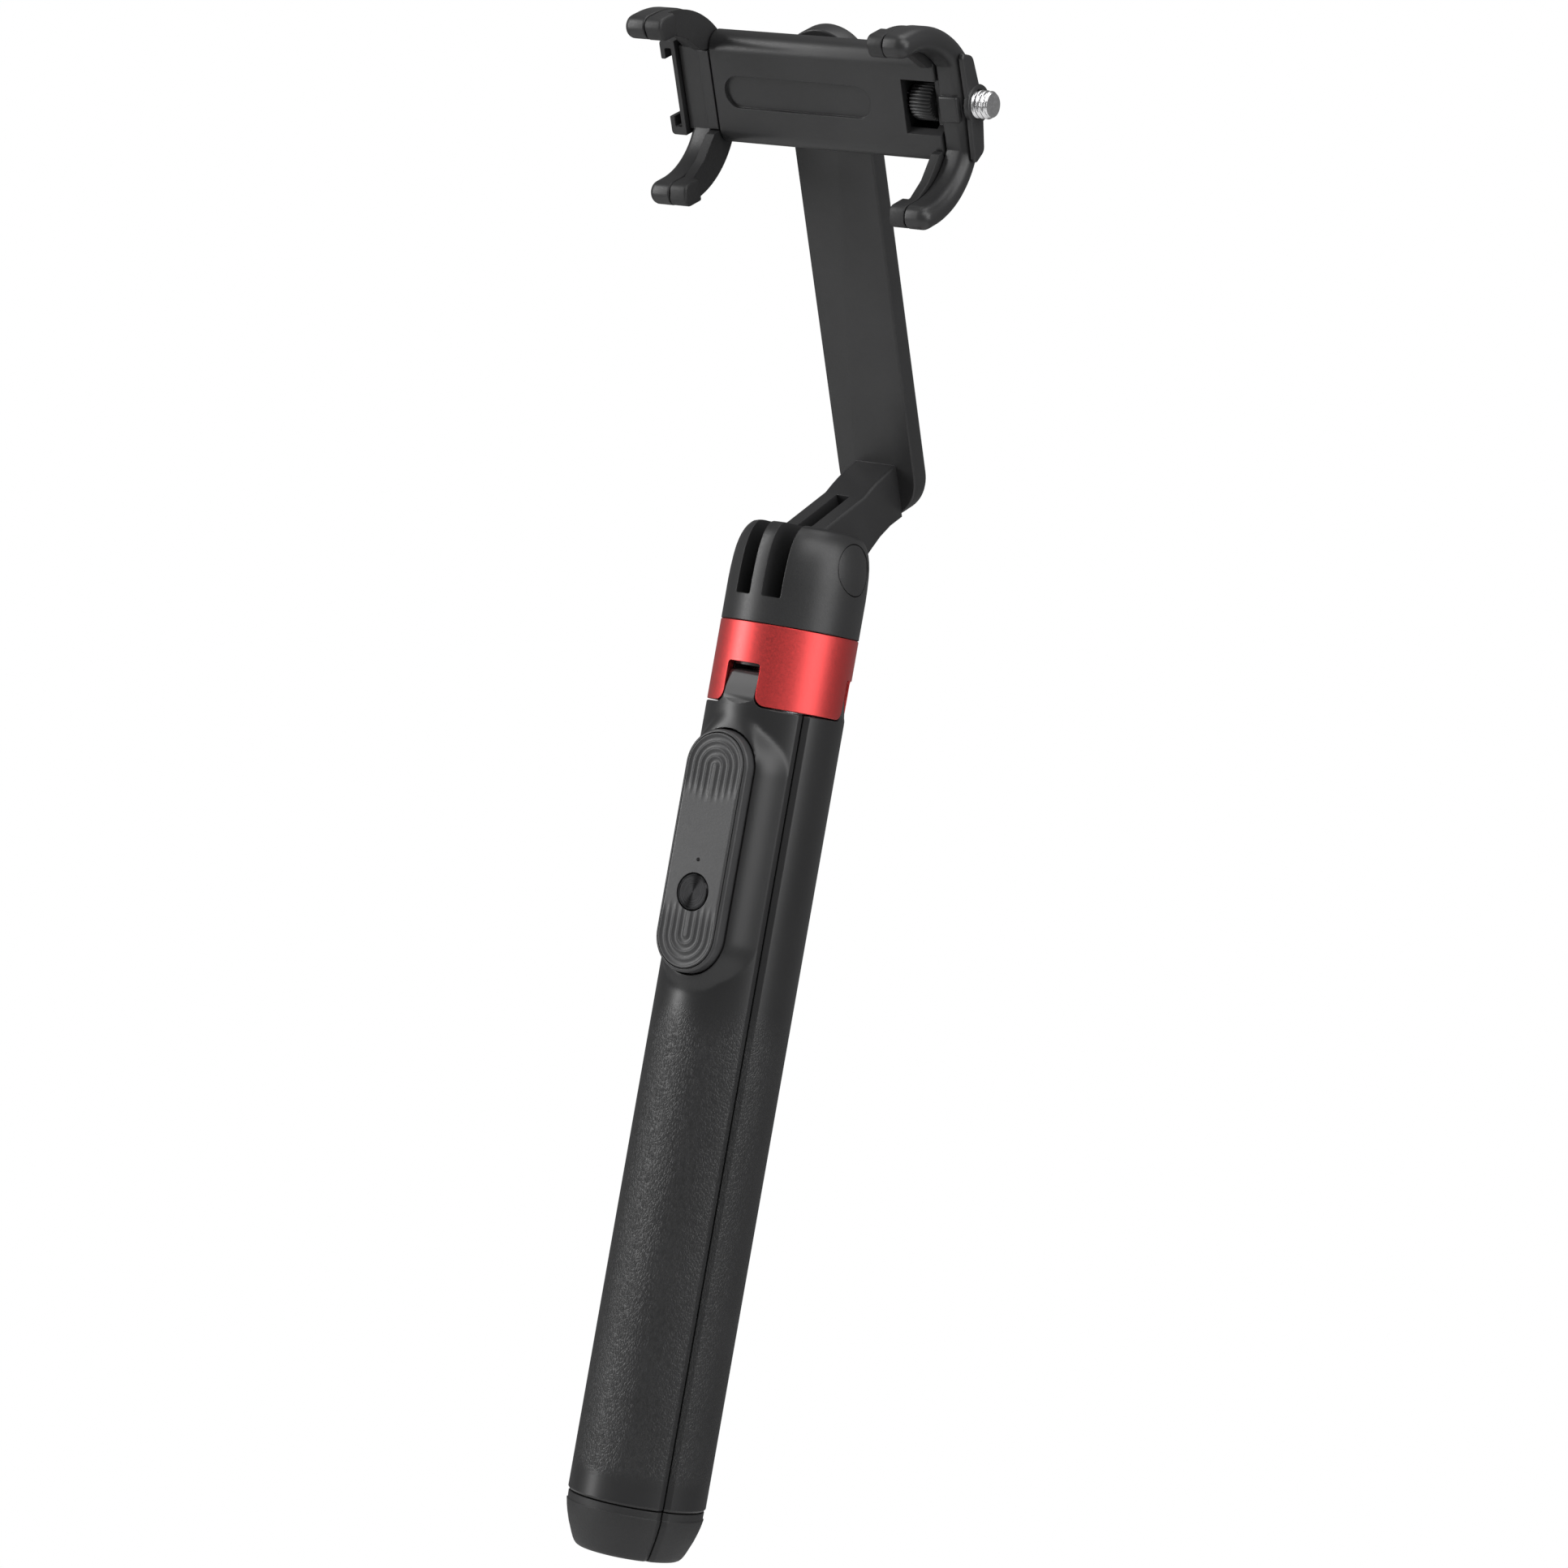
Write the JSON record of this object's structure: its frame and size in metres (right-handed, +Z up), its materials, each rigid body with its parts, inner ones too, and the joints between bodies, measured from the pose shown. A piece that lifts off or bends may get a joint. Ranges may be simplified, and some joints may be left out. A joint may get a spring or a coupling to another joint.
{
  "type": "selfie stick",
  "caption": "Telescopic selfie stick whose round handle opens into tripod legs, with a tilting arm, a sprung phone clamp and a pull-off remote.",
  "frame": {"origin": "on the handle's axis, in the plane of the feet's undersides", "axes": "+Z up the stick, -Y the front that the remote faces, +X the side of the threaded stud"},
  "size_m": [0.0863, 0.0934, 0.3502],
  "materials": {
    "satin_black": "satin",
    "grain_black": "fine leather-like grain",
    "soft_black": "matt",
    "remote_black": "satin",
    "button_dark": "turned, radial",
    "red_anodised": "anodised satin",
    "steel": "bright",
    "tube_metal": "drawn, polished",
    "spring_steel": "drawn wire",
    "white_plastic": "natural nylon",
    "board_green": "laminate",
    "lamp_clear": "clear lens"
  },
  "bodies": {
    "grip": {"collar": "red_anodised", "leg_hub": "satin_black", "leg_pin_front": "steel", "leg_pin_right": "steel", "leg_pin_left": "steel", "tube_fixed": "tube_metal"},
    "leg_front": {"leg_front": "grain_black", "foot_front": "soft_black", "remote_magnet": "steel"},
    "leg_right": {"leg_right": "grain_black", "foot_right": "soft_black"},
    "leg_left": {"leg_left": "grain_black", "foot_left": "soft_black"},
    "tube_1": {"tube_1": "tube_metal", "tube_bush_1": "white_plastic"},
    "tube_2": {"tube_2": "tube_metal", "tube_bush_2": "white_plastic"},
    "tube_3": {"tube_3": "tube_metal", "tube_bush_3": "white_plastic", "head": "satin_black", "hinge_bolt": "steel", "hinge_nut": "steel", "hinge_cap_right": "satin_black", "hinge_cap_left": "satin_black"},
    "arm": {"arm": "satin_black"},
    "clamp": {"clamp_body": "satin_black", "clamp_back_cover": "satin_black", "cover_screw_1": "steel", "cover_screw_2": "steel", "swivel_screw": "steel", "swivel_washer": "white_plastic", "jaw_right": "satin_black", "pad_right_upper": "soft_black", "pad_right_lower": "soft_black", "stud_cover": "satin_black", "jaw_spring_upper": "spring_steel", "jaw_spring_lower": "spring_steel"},
    "jaw": {"jaw_left": "satin_black", "pad_left_upper": "soft_black", "pad_left_lower": "soft_black", "cold_shoe": "satin_black", "guide_rod_upper": "steel", "guide_rod_lower": "steel"},
    "wheel": {"stud": "steel", "thumb_wheel": "satin_black"},
    "remote": {"remote_case": "remote_black", "remote_lid": "remote_black", "remote_lamp": "lamp_clear", "remote_board": "board_green", "switch_dome": "steel", "coin_cell": "steel"},
    "button": {"shutter_button": "button_dark"}
  },
  "joints": [
    {"name": "leg_front_open", "type": "hinge", "parent": "grip", "child": "leg_front", "pos_m": [0, -0.012, 0.2005], "axis": [-1, 0, 0], "range_deg": [0, 62]},
    {"name": "leg_right_open", "type": "hinge", "parent": "grip", "child": "leg_right", "pos_m": [0.01039, 0.006, 0.2005], "axis": [0.5, -0.866, 0], "range_deg": [0, 62]},
    {"name": "leg_left_open", "type": "hinge", "parent": "grip", "child": "leg_left", "pos_m": [-0.01039, 0.006, 0.2005], "axis": [0.5, 0.866, 0], "range_deg": [0, 62]},
    {"name": "tube_1_slide", "type": "slide", "parent": "grip", "child": "tube_1", "axis": [0, 0, 1], "range_m": [0, 0.15]},
    {"name": "tube_2_slide", "type": "slide", "parent": "tube_1", "child": "tube_2", "axis": [0, 0, 1], "range_m": [0, 0.15]},
    {"name": "tube_3_slide", "type": "slide", "parent": "tube_2", "child": "tube_3", "axis": [0, 0, 1], "range_m": [0, 0.15]},
    {"name": "arm_tilt", "type": "hinge", "parent": "tube_3", "child": "arm", "pos_m": [0, 0, 0.2302], "axis": [-1, 0, 0], "range_deg": [-150, 30]},
    {"name": "clamp_swivel", "type": "hinge", "parent": "arm", "child": "clamp", "pos_m": [0, -0.02503, 0.33676], "axis": [0, -0.866, -0.5], "range_deg": [0, 90]},
    {"name": "jaw_slide", "type": "slide", "parent": "clamp", "child": "jaw", "axis": [-1, 0, 0], "range_m": [0, 0.03], "stiffness_N_per_m": 150, "springref_m": -0.02, "deforming": ["jaw_spring_upper", "jaw_spring_lower"]},
    {"name": "wheel_spin", "type": "hinge", "parent": "clamp", "child": "wheel", "pos_m": [0.0335, -0.02971, 0.33406], "axis": [1, 0, 0], "continuous": true},
    {"name": "remote_pull", "type": "slide", "parent": "leg_front", "child": "remote", "axis": [0, -1, 0], "range_m": [0, 0.03]},
    {"name": "button_press", "type": "slide", "parent": "remote", "child": "button", "axis": [0, 1, 0], "range_m": [0, 0.0005], "stiffness_N_per_m": 600, "springref_m": -0.0008}
  ]
}
